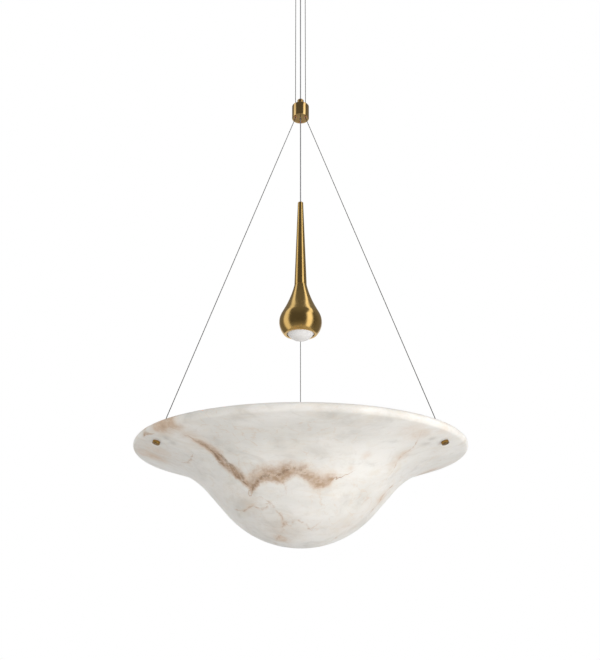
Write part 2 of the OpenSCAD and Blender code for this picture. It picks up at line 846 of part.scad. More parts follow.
module rim_stops() {
    color(brass) for (turn = WIRE_TURNS) at_anchor(turn) translate([0, 0, stop_bottom]) difference() {
        round_bar(stop_d / 2, stop_len, 0.5, 1);
        translate([0, 0, -1]) cylinder(r = wire_bore_r, h = stop_len + 2);
        translate([0, 0, -1]) cylinder(r = plug_r + running, h = stop_len - crimp_seat + 1);
    }
}

module wire_end_crimps() {
    color(steel) for (turn = WIRE_TURNS) at_anchor(turn)
        translate([0, 0, wire_end]) tube(crimp_r, wire_r + snug, foot_crimp_len);
}

module stop_screws() {
    slot_w = 1.2;
    proud = 0.4;
    color(brass) for (turn = WIRE_TURNS) at_anchor(turn) translate([0, 0, stop_bottom - proud])
        difference() {
            round_bar(plug_r, plug_len - loose, 0, 0.3);
            translate([-plug_r - 1, -slot_w / 2, -1]) cube([plug_d + 2, slot_w, 2]);
        }
}

module led_driver() {
    color(white) difference() {
        translate([lead_x - driver_len, driver_y, -plate_t - driver_h])
            cube([driver_len, driver_w, driver_h]);
        at_driver_screws() translate([0, 0, -driver_h - plate_t - 1]) screw_hole(driver_screw, 6);
    }
}

module at_driver_screws() {
    for (end = [0.12, 0.88]) translate([lead_x - driver_len * end, driver_y + driver_w / 4, 0]) children();
}

module driver_screws() {
    color(steel) at_driver_screws() translate([0, 0, -plate_t - driver_h]) pan_screw(driver_screw, 5);
}

module at_terminals() {
    for (i = [-1:1], side = [-1, 1])
        translate([i * block_len / 3.6, block_y + block_w / 2 + side * block_w / 4, 0]) children();
}

module terminal_block() {
    color(white) difference() {
        translate([lead_x - block_len, block_y, -plate_t - block_h]) cube([block_len, block_w, block_h]);
        at_terminals() translate([0, 0, -plate_t - block_h - 1]) screw_hole(terminal_screw, 6);
    }
}

module terminal_screws() {
    color(brass) at_terminals() translate([0, 0, -plate_t - block_h]) pan_screw(terminal_screw, 4);
}

module at_earth() {
    translate([-bridge_len / 2 - 2, block_y + 4, 0]) children();
}

module earth_screw() {
    color(brass) at_earth() translate([0, 0, -plate_t]) pan_screw(plate_screw, plate_t - seam);
}

module cover_clips() {
    color(steel) for (turn = CLIP_TURNS) rotate([0, 0, turn]) {
        translate([clip_x - clip_t, -clip_w / 2, -plate_t - clip_h]) cube([clip_t, clip_w, clip_h]);
        translate([clip_x - clip_foot, -clip_w / 2, -plate_t - clip_t]) cube([clip_foot, clip_w, clip_t]);
    }
}

module mains_leads() {
    for (i = [0, 1])
        color(i == 0 ? "#7a4a2a" : "#2a5a9a")
            translate([lead_x, lead_mid_y, -plate_t - block_h / 2 + (i - 0.5) * lead_pitch])
                rotate([0, 0, -90]) rotate_extrude(angle = 180)
                    translate([lead_turn_r, 0]) circle(d = lead_d);
}

module driver_lead() {
    color(sheath) {
        translate([0, driver_y, cord_turn_z + cord_bend]) rotate([90, 0, 0])
            cylinder(r = cord_r, h = driver_y - cord_bend);
        translate([0, cord_bend, cord_turn_z]) rotate([90, 0, 90]) rotate([0, 0, 90])
            rotate_extrude(angle = 90) translate([cord_bend, 0]) circle(r = cord_r);
        translate([0, 0, swivel_z + cord_gap]) cylinder(r = cord_r, h = cord_turn_z - swivel_z - cord_gap);
    }
}

module canopy_cover() {
    inner_edge = cover_edge - cover_wall;
    color(brass) rotate_extrude() polygon(concat(
        [[cover_inner_r, 0], [cover_r, 0]],
        arc([cover_r - cover_edge, cover_edge - cover_h], cover_edge, 0, -90, 8),
        [[cover_hole_r, -cover_h], [cover_hole_r, cover_wall - cover_h]],
        arc([cover_r - cover_edge, cover_edge - cover_h], inner_edge, -90, 0, 8)
    ));
}

ceiling_plate();
swivel_bridge();
bridge_screws();
swivel_socket();
led_driver();
driver_screws();
terminal_block();
terminal_screws();
earth_screw();
cover_clips();
mains_leads();
driver_lead();
canopy_cover();
swivel_seat();
swivel_ball();
canopy_boss();
boss_set_screw();
wire_top_crimps();
wire_left();
wire_right();
wire_back();
main_cord();
hub();
gripper_cages();
release_spring_left();
release_spring_right();
release_spring_back();
release_nose_left();
release_nose_right();
release_nose_back();
gland_body();
gland_sleeve();
gland_nut();
cord_bead();
lamp_cord();
cord_crimp();
stem_bush();
lamp_stem();
stem_nipple();
led_leads();
heat_sink();
led_board();
led_chip();
board_screws();
reflector();
lamp_shell();
lens_gasket();
lens();
lens_retainer();
bowl();
rim_bushes();
rim_stops();
wire_end_crimps();
stop_screws();
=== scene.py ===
"""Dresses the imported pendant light: stone-look acrylic bowl, brushed brass, wire rope, frosted lens.
Metres, Z up, the origin is the middle of the ceiling face, the front is -Y."""

import json
import math

import bmesh
import bpy
import numpy as np
from mathutils import Matrix, Vector


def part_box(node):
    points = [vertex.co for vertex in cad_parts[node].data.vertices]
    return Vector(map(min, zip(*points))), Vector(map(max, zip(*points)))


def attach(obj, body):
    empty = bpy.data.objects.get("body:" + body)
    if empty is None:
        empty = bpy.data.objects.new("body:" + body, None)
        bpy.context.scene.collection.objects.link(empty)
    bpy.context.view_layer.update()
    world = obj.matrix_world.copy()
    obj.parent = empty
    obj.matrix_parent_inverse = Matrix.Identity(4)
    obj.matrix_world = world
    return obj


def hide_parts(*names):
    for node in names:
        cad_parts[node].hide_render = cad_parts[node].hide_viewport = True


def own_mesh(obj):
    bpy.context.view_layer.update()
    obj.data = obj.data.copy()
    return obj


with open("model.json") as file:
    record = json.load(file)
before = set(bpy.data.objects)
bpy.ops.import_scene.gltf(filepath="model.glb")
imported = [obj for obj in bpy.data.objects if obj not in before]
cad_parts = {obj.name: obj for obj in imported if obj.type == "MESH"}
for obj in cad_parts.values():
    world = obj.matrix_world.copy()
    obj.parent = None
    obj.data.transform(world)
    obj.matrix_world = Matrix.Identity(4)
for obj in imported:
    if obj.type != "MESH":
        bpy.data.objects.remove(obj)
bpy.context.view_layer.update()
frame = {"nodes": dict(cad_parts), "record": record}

NODES = frame["nodes"]
MM = 0.001

# The photograph's camera
CAMERA_PLACE = (-0.0011, -1.481, -1.5015)
CAMERA_TILT = 21.47
CAMERA_LENS = 45
SENSOR = 36

# Light. AMBIENT lights the matt surfaces evenly, and area lights shape them: name, place, aim, size and power
AMBIENT = 0.55
LIGHTS = [("left_softbox", (-2.0, -0.14, -0.45), (0, 0, -0.45), (1.0, 2.9), 14),
          ("right_softbox", (1.62, -1.18, -0.45), (0, 0, -0.45), (1.05, 2.9), 17),
          ("front_light", (1.35, -1.9, -2.05), (0, 0, -1.1), (1.4, 1.0), 25)]

# Floor: height, radius, and how much of its own pale colour the camera sees whatever the light
FLOOR_Z = -2.4
FLOOR_R = 70
FLOOR_SEGMENTS = 128
FLOOR_GLOW = 0.8

# Shiny surfaces see a dim studio, paler at its sides, ground and ceiling and white at its back. Each band is where a
# glow rises, from first to last: along the ray's Y at the back, its Z below and above, its turn at the sides.
STUDIO_DIM = 0.11
BACK_BAND = (0.72, 0.97)
GROUND_BAND = (-0.95, -0.15)
CEILING_BAND = (0.5, 0.95)
SIDE_BAND = (1.2, 2.1)
SIDE_GLOW = 0.22
CEILING_GLOW = 0.17
GROUND_GLOW = 0.38

# Two upright strips of light in that studio: turn from the camera's side and half the width in degrees, brightness,
# and how many degrees a strip has leaned back where LEAN_BAND ends. STRIP_EDGE holds the shares of the half width
# between which it fades.
LEAN_BAND = (0.5, 0.97)
STRIP_EDGE = (0.5, 1.5)
STRIPS = [(-83, 18, 1.1, -16), (51, 16, 1.6, 44)]

# Turns of the three wires, seen from above
WIRE_TURNS = {"left": 210, "right": -30, "back": 90}

# Bowl, in millimetres and degrees
BOWL_SEGMENTS = 320
BOWL_WALL = 16
BOTTOM_R = 177.6
WALL_SLOPE = 47.7
FLARE_R = 175
LIP_SLOPE = 17.8


def sind(a):
    return math.sin(math.radians(a))


def cosd(a):
    return math.cos(math.radians(a))


def arc(centre, r, start, end, steps):
    """Points on a round stretch of an outline."""
    return [(centre[0] + r * cosd(start + (end - start) * i / steps),
             centre[1] + r * sind(start + (end - start) * i / steps)) for i in range(steps + 1)]


def spread(points, spacing):
    """The same outline with its long straight stretches divided."""
    out = [points[0]]
    for a, b in zip(points, points[1:]):
        length = math.dist(a, b)
        if length < 1e-9:
            continue
        parts = max(1, math.ceil(length / spacing))
        out += [(a[0] + (b[0] - a[0]) * i / parts, a[1] + (b[1] - a[1]) * i / parts) for i in range(1, parts + 1)]
    return out


def link(name, mesh, body):
    piece = bpy.data.objects.new(name, mesh)
    bpy.context.scene.collection.objects.link(piece)
    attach(piece, body)
    return piece


def smooth(mesh, sharp=35):
    mesh.shade_smooth()
    mesh.set_sharp_from_angle(angle=math.radians(sharp))


def lathe_parts(outline, segments, closed=False):
    """Turns an outline of (radius, height) points round Z. Points on the axis become poles."""
    verts = []
    rings = []
    for r, z in outline:
        if r < 1e-7:
            rings.append([len(verts)])
            verts.append((0, 0, z))
        else:
            rings.append(list(range(len(verts), len(verts) + segments)))
            verts += [(r * math.cos(2 * math.pi * k / segments), r * math.sin(2 * math.pi * k / segments), z)
                      for k in range(segments)]
    faces = []
    pairs = list(zip(rings, rings[1:]))
    if closed:
        pairs.append((rings[-1], rings[0]))
    for low, high in pairs:
        for k in range(segments):
            n = (k + 1) % segments
            if len(low) == 1 and len(high) == 1:
                continue
            if len(low) == 1:
                faces.append((low[0], high[n], high[k]))
            elif len(high) == 1:
                faces.append((low[k], low[n], high[0]))
            else:
                faces.append((low[k], low[n], high[n], high[k]))
    return verts, faces


def lathe_solid(outline, segments, place=None):
    """A lathed solid from an outline in millimetres, turned and moved by place, with its faces outwards."""
    verts, faces = lathe_parts([(r * MM, z * MM) for r, z in outline], segments, outline[0][0] > 0)
    bm = bmesh.new()
    made = [bm.verts.new(place @ Vector(v) if place else v) for v in verts]
    for face in faces:
        bm.faces.new([made[i] for i in face])
    bmesh.ops.recalc_face_normals(bm, faces=bm.faces)
    return bm


def lathe_mesh(name, outline, segments):
    """The same as a mesh. The outline is closed round its hollow where it doesn't start on the axis."""
    bm = lathe_solid(outline, segments)
    mesh = bpy.data.meshes.new(name)
    bm.to_mesh(mesh)
    bm.free()
    return mesh


def drill(piece, cutters):
    """Cuts closed solids out of a piece, one after the other."""
    for bm in cutters:
        mesh = bpy.data.meshes.new("cutter")
        bm.to_mesh(mesh)
        bm.free()
        tool = bpy.data.objects.new("cutter", mesh)
        bpy.context.scene.collection.objects.link(tool)
        cut = piece.modifiers.new("hole", "BOOLEAN")
        cut.operation = "DIFFERENCE"
        cut.solver = "MANIFOLD"
        cut.object = tool
        bpy.context.view_layer.update()
        done = bpy.data.meshes.new_from_object(piece.evaluated_get(bpy.context.evaluated_depsgraph_get()))
        piece.modifiers.remove(cut)
        done.materials.clear()
        piece.data = done
        bpy.data.objects.remove(tool)


class Shader:
    """Builds a material's nodes with few words."""

    def __init__(self, name, **sockets):
        self.mat = bpy.data.materials.new(name)
        self.mat.use_nodes = True
        self.tree = self.mat.node_tree
        self.bsdf = self.tree.nodes["Principled BSDF"]
        for key, value in sockets.items():
            self.bsdf.inputs[key.replace("_", " ")].default_value = value

    def add(self, kind, sockets=None, **settings):
        made = self.tree.nodes.new("ShaderNode" + kind)
        for key, value in settings.items():
            setattr(made, key, value)
        for key, value in (sockets or {}).items():
            self.put(made.inputs[key], value)
        return made

    def put(self, socket, value):
        if isinstance(value, bpy.types.NodeSocket):
            self.tree.links.new(value, socket)
        else:
            socket.default_value = value

    def place(self, scale=(1, 1, 1)):
        coords = self.add("TexCoord")
        return self.add("Mapping", {"Vector": coords.outputs["Object"], "Scale": scale}).outputs[0]

    def noise(self, where, scale, detail=3.0, roughness=0.5, distortion=0.0):
        return self.add("TexNoise", {"Vector": where, "Scale": scale, "Detail": detail, "Roughness": roughness,
                                     "Distortion": distortion}).outputs["Fac"]

    def math(self, operation, a, b=0.0, clamp=False):
        made = self.add("Math", {0: a, 1: b}, operation=operation, use_clamp=clamp)
        return made.outputs[0]

    def times(self, a, b):
        return self.math("MULTIPLY", a, b)

    def span(self, value, low, high, to_low=0.0, to_high=1.0):
        """value from low..high to to_low..to_high, clamped and eased."""
        made = self.add("MapRange", {"Value": value, "From Min": low, "From Max": high, "To Min": to_low,
                                     "To Max": to_high}, interpolation_type="SMOOTHSTEP")
        return made.outputs[0]

    def mix(self, share, a, b, blend="MIX"):
        made = self.add("Mix", data_type="RGBA", blend_type=blend)
        self.put(made.inputs["Factor"], share)
        self.put(made.inputs[6], a)
        self.put(made.inputs[7], b)
        return made.outputs[2]

    def attribute(self, name):
        return self.add("Attribute", attribute_name=name, attribute_type="GEOMETRY").outputs["Fac"]

    def bump(self, height, distance, strength=1.0):
        made = self.add("Bump", {"Height": height, "Distance": distance, "Strength": strength})
        self.tree.links.new(made.outputs[0], self.bsdf.inputs["Normal"])

    def base(self, value):
        self.put(self.bsdf.inputs["Base Color"], value)

    def rough(self, value):
        self.put(self.bsdf.inputs["Roughness"], value)


def rgb(r, g, b):
    """A colour as the eye reads it, 0 to 255, in the renderer's own units."""
    return tuple((v / 255 / 12.92 if v <= 10 else ((v / 255 + 0.055) / 1.055) ** 2.4) for v in (r, g, b)) + (1.0,)


def make_camera():
    data = bpy.data.cameras.new("camera")
    data.lens = CAMERA_LENS
    data.sensor_width = SENSOR
    data.clip_end = 100
    camera = bpy.data.objects.new("camera", data)
    bpy.context.scene.collection.objects.link(camera)
    camera.location = CAMERA_PLACE
    camera.rotation_euler = (math.radians(90 + CAMERA_TILT), 0, 0)
    bpy.context.scene.camera = camera


def soft_light(name, place, aim, size, power):
    data = bpy.data.lights.new(name, "AREA")
    data.shape = "RECTANGLE"
    data.size, data.size_y = size
    data.energy = power
    lamp = bpy.data.objects.new(name, data)
    bpy.context.scene.collection.objects.link(lamp)
    lamp.visible_glossy = False
    lamp.location = place
    lamp.rotation_euler = (Vector(aim) - Vector(place)).to_track_quat("-Z", "Y").to_euler()


def make_world():
    """White to the camera. Metal and glass see the same white behind the light, and the studio elsewhere. To
    everything else it is a soft even light."""
    world = bpy.data.worlds.new("studio")
    bpy.context.scene.world = world
    world.use_nodes = True
    tree = world.node_tree
    tree.nodes.clear()

    def add(kind, **settings):
        made = tree.nodes.new("ShaderNode" + kind)
        for key, value in settings.items():
            setattr(made, key, value)
        return made

    def background(strength, colour=None):
        made = add("Background")
        made.inputs["Strength"].default_value = strength
        if colour is not None:
            tree.links.new(colour, made.inputs["Color"])
        else:
            made.inputs["Color"].default_value = (1, 1, 1, 1)
        return made.outputs[0]

    def pick(share, a, b):
        made = add("MixShader")
        tree.links.new(share, made.inputs[0])
        tree.links.new(a, made.inputs[1])
        tree.links.new(b, made.inputs[2])
        return made.outputs[0]

    def span(value, band, to_low, to_high):
        made = add("MapRange", interpolation_type="SMOOTHSTEP")
        tree.links.new(value, made.inputs["Value"])
        for key, level in (("From Min", band[0]), ("From Max", band[1]), ("To Min", to_low), ("To Max", to_high)):
            made.inputs[key].default_value = level
        return made.outputs[0]

    def calc(operation, a, b):
        made = add("Math", operation=operation)
        for socket, value in zip(made.inputs, (a, b)):
            if isinstance(value, bpy.types.NodeSocket):
                tree.links.new(value, socket)
            else:
                socket.default_value = value
        return made.outputs[0]

    coords = add("TexCoord")
    parts = add("SeparateXYZ")
    tree.links.new(coords.outputs["Generated"], parts.inputs[0])
    front = calc("MULTIPLY", parts.outputs["Y"], -1.0)
    turn = calc("ARCTAN2", parts.outputs["X"], front)
    up = parts.outputs["Z"]
    seen = calc("MAXIMUM", span(parts.outputs["Y"], BACK_BAND, STUDIO_DIM, 1.0),
                span(up, GROUND_BAND, GROUND_GLOW, STUDIO_DIM))
    seen = calc("MAXIMUM", seen, span(up, CEILING_BAND, STUDIO_DIM, CEILING_GLOW))
    seen = calc("MAXIMUM", seen, span(calc("ABSOLUTE", turn, 0), SIDE_BAND, STUDIO_DIM, SIDE_GLOW))
    risen = span(up, LEAN_BAND, 0.0, 1.0)
    for middle, half, level, lean in STRIPS:
        centre = calc("ADD", calc("MULTIPLY", risen, math.radians(lean)), math.radians(middle))
        off = calc("ABSOLUTE", calc("SUBTRACT", turn, centre), 0)
        strip = span(off, [math.radians(half * share) for share in STRIP_EDGE], level, 0.0)
        seen = calc("MAXIMUM", seen, strip)
    rays = add("LightPath")
    shiny = add("Math", operation="ADD", use_clamp=True)
    tree.links.new(rays.outputs["Is Glossy Ray"], shiny.inputs[0])
    tree.links.new(rays.outputs["Is Transmission Ray"], shiny.inputs[1])
    lit = pick(shiny.outputs[0], background(AMBIENT), background(1.0, seen))
    shown = pick(rays.outputs["Is Camera Ray"], lit, background(1.0))
    out = add("OutputWorld")
    tree.links.new(shown, out.inputs[0])


def make_stage():
    """A pale round floor that keeps the object's shadow, and the lights."""
    mesh = lathe_mesh("floor", [(0, 0), (FLOOR_R / MM, 0)], FLOOR_SEGMENTS)
    floor = bpy.data.objects.new("floor", mesh)
    bpy.context.scene.collection.objects.link(floor)
    floor.location.z = FLOOR_Z
    paint = Shader("floor_paint", Roughness=0.8)
    paint.base(paint.mix(paint.noise(paint.place(), 3.0), rgb(228, 228, 227), rgb(232, 232, 231)))
    pale = paint.add("Emission", {"Color": rgb(252, 252, 251)})
    seen = paint.add("MixShader")
    rays = paint.add("LightPath")
    paint.put(seen.inputs[0], paint.math("MULTIPLY", rays.outputs["Is Camera Ray"], FLOOR_GLOW))
    paint.put(seen.inputs[1], paint.bsdf.outputs[0])
    paint.put(seen.inputs[2], pale.outputs[0])
    paint.put(paint.tree.nodes["Material Output"].inputs["Surface"], seen.outputs[0])
    mesh.materials.append(paint.mat)
    floor.visible_glossy = False
    for light in LIGHTS:
        soft_light(*light)


# Veins of the stone on the bowl, as plan points seen from above: x to the right, y to the back and half width,
# all in millimetres. STAINS are broad and soft, CORES narrow and dark, HAIRS fine and pale.
STAINS = [
    [(-170, -180, 5), (-160, -172, 8), (-150, -166, 9), (-140, -157, 9), (-133, -147, 9), (-128, -140, 9),
     (-119, -138, 10), (-109, -138, 10), (-102, -133, 9), (-91, -129, 8), (-82, -129, 6)],
    [(-80, -124, 4), (-78, -134, 8), (-71, -144, 11), (-61, -151, 12), (-50, -156, 12), (-39, -158, 13),
     (-30, -161, 13), (-14, -168, 12), (-2, -168, 11), (8, -162, 9), (20, -155, 11), (30, -150, 12), (42, -150, 11),
     (50, -152, 5)],
    [(-259, -145, 2), (-256, -152, 3), (-251, -157, 3), (-244, -163, 2)],
    [(60, 255, 6), (20, 215, 8), (-30, 190, 9), (-75, 150, 8), (-90, 100, 6), (-70, 60, 4)],
    [(-75, 150, 4), (-130, 160, 7), (-190, 190, 9), (-240, 160, 5)],
    [(250, 60, 4), (205, 90, 7), (150, 100, 8), (110, 140, 6), (90, 190, 4)],
]
CORES = [
    [(-163, -173, 0.8), (-148, -165, 1.3), (-140, -156, 1.8), (-133, -146, 2.4), (-129, -138, 2.8), (-120, -135, 3),
     (-110, -136, 3), (-103, -133, 2.6), (-97, -130, 2), (-90, -129, 1.2)],
    [(-128, -158, 1), (-119, -149, 2), (-107, -145, 2.2), (-98, -141, 2), (-93, -135, 1)],
    [(-79, -126, 1), (-77, -134, 3), (-71, -143, 3), (-65, -149, 1.5)],
    [(-62, -152, 1.5), (-57, -155, 2.6), (-51, -157, 1)],
    [(-36, -161, 1), (-30, -164, 3), (-24, -168, 2), (-18, -171, 1)],
    [(-10, -173, 1), (-3, -171, 3), (3, -168, 1)],
    [(20, 215, 1.5), (-30, 190, 2.6), (-75, 150, 2.4), (-90, 100, 1.2)],
    [(-130, 160, 1.2), (-190, 190, 2.4), (-225, 170, 1)],
    [(205, 90, 1), (150, 100, 2.4), (110, 140, 1.2)],
]
HAIRS = [
    [(-110, -66, 1), (-96, -79, 1.6), (-80, -103, 1.6), (-63, -106, 1.6), (-46, -120, 2), (-32, -106, 1.8),
     (-27, -94, 2.2), (-30, -75, 2.4), (-33, -64, 2.8), (-39, -42, 3)],
    [(-64, -122, 1.4), (-45, -120, 1.8)],
    [(-27, -94, 2), (-5, -101, 1.8), (8, -95, 1.8), (16, -82, 1.8), (32, -93, 1.4)],
    [(-29, -160, 2.2), (-26, -153, 2.6), (-24, -143, 1.6)],
    [(-181, -120, 1.6), (-187, -98, 2.4), (-195, -82, 2.2), (-203, -74, 1.4)],
    [(192, -200, 0.8), (190, -170, 1.2), (184, -145, 1.2), (169, -133, 1.8), (160, -120, 1.2), (157, -102, 1),
     (144, -92, 0.8)],
    [(159, -56, 2), (143, -55, 3.5), (131, -46, 3.5), (121, -44, 2)],
    [(110, 140, 2), (60, 110, 3), (20, 60, 3.5), (30, 10, 2.4), (60, -30, 1.6)],
    [(-70, 60, 2), (-40, 20, 2.5), (-45, -20, 2)],
]
# Clouds: x, y, radius in millimetres, and how strong
TAN_CLOUDS = [(-230, -190, 18, 1.0), (-219, -202, 18, 1.2), (-208, -213, 18, 1.2), (-198, -212, 15, 0.9),
              (-178, -194, 17, 0.6), (-166, -180, 14, 0.7), (-156, -170, 12, 0.8), (-146, -164, 11, 0.5),
              (26, -154, 16, 0.4), (42, -154, 16, 0.4), (232, -184, 14, 0.35), (169, -133, 15, 0.5),
              (156, -121, 12, 0.4),
              (190, -190, 18, 0.5), (175, -215, 20, 0.3), (106, -170, 7, 0.5), (81, -157, 6, 0.4),
              (140, -52, 15, 0.5), (-32, -46, 15, 0.8), (-27, -94, 9, 0.5), (-84, -100, 22, 0.2),
              (-30, -75, 34, 0.25), (70, -60, 30, 0.2), (-250, -120, 22, 0.15), (60, 250, 40, 0.7),
              (-40, 185, 38, 0.5), (-265, -43, 30, 0.9), (-248, -90, 26, 0.5), (-200, 190, 42, 0.6),
              (150, 100, 36, 0.5), (245, 70, 30, 0.6), (20, 50, 26, 0.5)]
GREY_CLOUDS_AND_SHADOWS = [(45, -287, 22, 0.8), (68, -270, 26, 0.9), (120, -255, 34, 0.5), (-38, -223, 14, 0.7),
               (-31, -204, 12, 0.6), (-16, -184, 15, 0.8), (-114, -175, 8, 0.8), (74, -114, 13, 0.9),
               (100, -96, 16, 0.9), (0, -252, 40, 0.4), (-90, -278, 22, 0.6), (-135, -200, 20, 0.6),
               # Painted shadows, not stone: the clouds at (-222, -162) and (-211, -148) lie inward of the left rim
               # stop, and those at (215, -162) and (207, -148) lie inward of the right one, where each stop shades
               # the lip's underside.
               (32, -191, 14, 0.6), (-80, -122, 7, 0.9), (-222, -162, 7, 1.3), (-211, -148, 7, 1.0),
               (215, -162, 7, 1.3),
               (207, -148, 7, 1.0), (-33, -75, 30, 0.5), (-101, -76, 26, 0.5),
               (-262, -60, 40, 0.6), (0, 260, 60, 0.6), (-160, 110, 55, 0.6), (190, 160, 50, 0.6), (80, 40, 40, 0.4),
               (-20, 15, 50, 0.5), (-60, -30, 30, 0.6)]


# The stone's colours
STONE_PALE = rgb(243, 240, 235)
STONE_SHADE = rgb(231, 228, 222)
STONE_CREAM = rgb(230, 221, 207)
# STONE_GREY_AND_SHADOW also paints the shadows that the rim stops cast on the lip's underside.
STONE_GREY_AND_SHADOW = rgb(202, 197, 189)
STAIN_PALE = rgb(219, 197, 175)
STAIN = rgb(168, 133, 102)
STAIN_CORE = rgb(90, 68, 44)


def bowl_outline(bowl_r, depth):
    """The bowl's outline in millimetres from the rim's top: the outside from the bottom's centre up to the rim, and
    the inside from the rim back down."""
    rim_r = BOWL_WALL / 2
    rim = (bowl_r - rim_r, -rim_r)
    lip = (rim[0] + rim_r * sind(LIP_SLOPE), rim[1] - rim_r * cosd(LIP_SLOPE))
    bottom = (0, BOTTOM_R - depth)
    bottom_end = (BOTTOM_R * sind(WALL_SLOPE), bottom[1] - BOTTOM_R * cosd(WALL_SLOPE))
    step = (FLARE_R * (sind(WALL_SLOPE) - sind(LIP_SLOPE)), FLARE_R * (cosd(LIP_SLOPE) - cosd(WALL_SLOPE)))
    gap = (lip[0] - bottom_end[0] - step[0], lip[1] - bottom_end[1] - step[1])
    run = (gap[1] * cosd(LIP_SLOPE) - gap[0] * sind(LIP_SLOPE)) / sind(WALL_SLOPE - LIP_SLOPE)
    flare = (bottom_end[0] + run * cosd(WALL_SLOPE) + FLARE_R * sind(WALL_SLOPE),
             bottom_end[1] + run * sind(WALL_SLOPE) - FLARE_R * cosd(WALL_SLOPE))
    outside = spread(arc(bottom, BOTTOM_R, -90, WALL_SLOPE - 90, 44)
                     + arc(flare, FLARE_R, WALL_SLOPE + 90, LIP_SLOPE + 90, 28)
                     + arc(rim, rim_r, LIP_SLOPE - 90, 0, 12), 3.5)
    inside = spread(arc(rim, rim_r, 0, LIP_SLOPE + 90, 12)
                    + arc(flare, FLARE_R + BOWL_WALL, LIP_SLOPE + 90, WALL_SLOPE + 90, 20)
                    + arc(bottom, BOTTOM_R - BOWL_WALL, WALL_SLOPE - 90, -90, 24), 7)
    return outside, inside


def surface_height(plan_r, outside):
    """Height of the outside over a place in plan."""
    table = np.array(outside)
    rising = table[:, 0] >= np.maximum.accumulate(table[:, 0])
    return np.interp(plan_r, table[rising, 0], table[rising, 1])


def vein_offset(places, path, outside):
    """Signed distance from a vein over its half width, so that -1 to 1 is inside it."""
    line = np.array([(x, y) for x, y, w in path], float)
    widths = np.array([w for x, y, w in path], float)
    lifted = np.column_stack([line, surface_height(np.hypot(line[:, 0], line[:, 1]), outside)])
    best = np.full(len(places), 1e9)
    side = np.ones(len(places))
    for a, b, wa, wb in zip(lifted, lifted[1:], widths, widths[1:]):
        along = b - a
        t = np.clip(((places - a) @ along) / (along @ along), 0, 1)
        away = places - (a + t[:, None] * along)
        measure = np.linalg.norm(away, axis=1) / (wa + (wb - wa) * t)
        closer = measure < best
        best[closer] = measure[closer]
        turn = along[0] * away[:, 1] - along[1] * away[:, 0]
        side[closer] = np.where(turn[closer] < 0, -1.0, 1.0)
    return np.clip(best, 0, 60) * side


def nearest_vein(places, paths, outside):
    """Signed distance from the nearest of several veins."""
    offsets = np.array([vein_offset(places, path, outside) for path in paths])
    return offsets[np.abs(offsets).argmin(axis=0), np.arange(len(places))]


def clouds(places, spots, outside):
    """How strongly the nearest soft spot colours each place."""
    total = np.zeros(len(places))
    for x, y, r, strength in spots:
        spot = np.array([x, y, surface_height(math.hypot(x, y), outside)])
        gap = np.linalg.norm(places - spot, axis=1) / r
        total = np.maximum(total, strength * np.exp(-gap ** 2))
    return total


